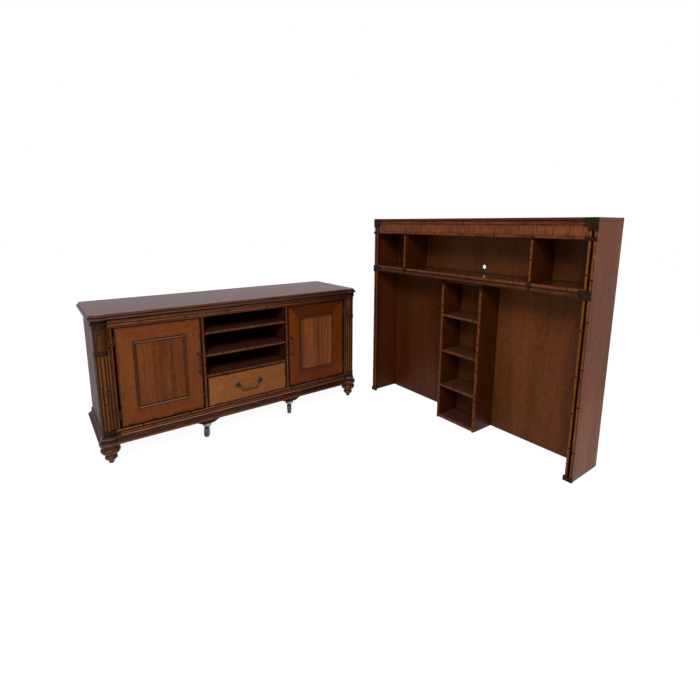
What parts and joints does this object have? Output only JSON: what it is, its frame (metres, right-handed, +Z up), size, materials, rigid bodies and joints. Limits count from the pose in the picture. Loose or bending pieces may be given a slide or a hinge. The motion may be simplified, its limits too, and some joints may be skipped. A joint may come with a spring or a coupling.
{
  "type": "china hutch",
  "caption": "Wide two-door base cabinet with an open shelf bay and drawer on casters, and its open shelf hutch standing apart beside it, dark bamboo style.",
  "frame": {"origin": "middle of the footprint box of the base cabinet and the hutch together, on the floor", "axes": "+X to the right along the base cabinet's width, its front faces -Y, +Z up; the hutch's front faces -X"},
  "size_m": [2.433, 2.344, 1.495],
  "materials": {
    "top_wood": "gloss lacquer",
    "side_wood": "gloss lacquer",
    "inner_wood": "satin lacquer",
    "moulding_wood": "gloss lacquer",
    "reed_wood": "satin lacquer",
    "binding": "satin lacquer",
    "frame_veneer": "satin lacquer",
    "panel_veneer": "satin lacquer",
    "woven_front": "satin lacquer",
    "bronze": "dark antique",
    "pin_steel": "plain",
    "black_block": "matt paint",
    "pale_block": "bare",
    "zinc": "zinc plated",
    "wheel_rubber": "matt",
    "black_plastic": "matt"
  },
  "bodies": {
    "carcass": {"base_top": "top_wood", "side_cornices": "top_wood", "right_side_panel": "side_wood", "left_side_panel": "side_wood", "hutch_right_side": "side_wood", "hutch_left_side": "side_wood", "hutch_top": "side_wood", "right_partition": "inner_wood", "left_partition": "inner_wood", "base_deck": "inner_wood", "base_back": "inner_wood", "bay_floor": "inner_wood", "bay_shelves": "inner_wood", "cabinet_shelves": "inner_wood", "drawer_runners": "inner_wood", "hutch_back": "inner_wood", "hutch_frieze": "inner_wood", "hutch_shelf": "inner_wood", "hutch_partitions": "inner_wood", "tower_sides": "inner_wood", "tower_shelves": "inner_wood", "tower_rail": "inner_wood", "base_frieze": "moulding_wood", "base_bottom_rail": "moulding_wood", "plinth_front": "moulding_wood", "plinth_sides": "moulding_wood", "turned_feet": "moulding_wood", "face_stiles": "reed_wood", "centre_posts": "reed_wood", "right_column": "reed_wood", "left_column": "reed_wood", "hutch_stiles": "reed_wood", "hutch_reeds": "reed_wood", "hutch_rail": "reed_wood", "column_bindings": "binding", "hutch_bindings": "binding", "frame_hinge_leaves": "bronze", "shelf_pins": "pin_steel", "caster_blocks": "black_block", "caster_shims": "pale_block", "caster_plates": "zinc", "wire_grommet": "black_plastic"},
    "right_door": {"right_door_frame": "frame_veneer", "right_door_panel": "panel_veneer", "right_door_moulding": "moulding_wood", "right_pull": "bronze", "right_hinge_leaves": "bronze"},
    "left_door": {"left_door_frame": "frame_veneer", "left_door_panel": "panel_veneer", "left_door_moulding": "moulding_wood", "left_pull": "bronze", "left_hinge_leaves": "bronze"},
    "drawer": {"drawer_front": "woven_front", "drawer_box": "inner_wood", "pull_rosettes": "bronze"},
    "bail": {"drawer_bail": "bronze"},
    "left_caster": {"left_caster_fork": "zinc"},
    "left_wheel": {"left_caster_wheel": "wheel_rubber"},
    "right_caster": {"right_caster_fork": "zinc"},
    "right_wheel": {"right_caster_wheel": "wheel_rubber"}
  },
  "joints": [
    {"name": "right_door_hinge", "type": "hinge", "parent": "carcass", "child": "right_door", "pos_m": [0.588, 0.605, 0.529], "axis": [0, 0, 1], "range_deg": [0, 110]},
    {"name": "left_door_hinge", "type": "hinge", "parent": "carcass", "child": "left_door", "pos_m": [-1.089, 0.605, 0.529], "axis": [0, 0, -1], "range_deg": [0, 110]},
    {"name": "drawer_slide", "type": "slide", "parent": "carcass", "child": "drawer", "axis": [0, -1, 0], "range_m": [0, 0.36]},
    {"name": "bail_swing", "type": "hinge", "parent": "drawer", "child": "bail", "pos_m": [-0.2505, 0.593, 0.323], "axis": [-1, 0, 0], "range_deg": [0, 90]},
    {"name": "left_caster_swivel", "type": "hinge", "parent": "carcass", "child": "left_caster", "pos_m": [-0.56154, 0.62432, 0.078], "axis": [0, 0, 1], "continuous": true},
    {"name": "left_wheel_spin", "type": "hinge", "parent": "left_caster", "child": "left_wheel", "pos_m": [-0.57154, 0.607, 0.0375], "axis": [0.866, -0.5, 0], "continuous": true},
    {"name": "right_caster_swivel", "type": "hinge", "parent": "carcass", "child": "right_caster", "pos_m": [0.08054, 0.62432, 0.078], "axis": [0, 0, 1], "continuous": true},
    {"name": "right_wheel_spin", "type": "hinge", "parent": "right_caster", "child": "right_wheel", "pos_m": [0.07054, 0.607, 0.0375], "axis": [0.866, -0.5, 0], "continuous": true}
  ]
}
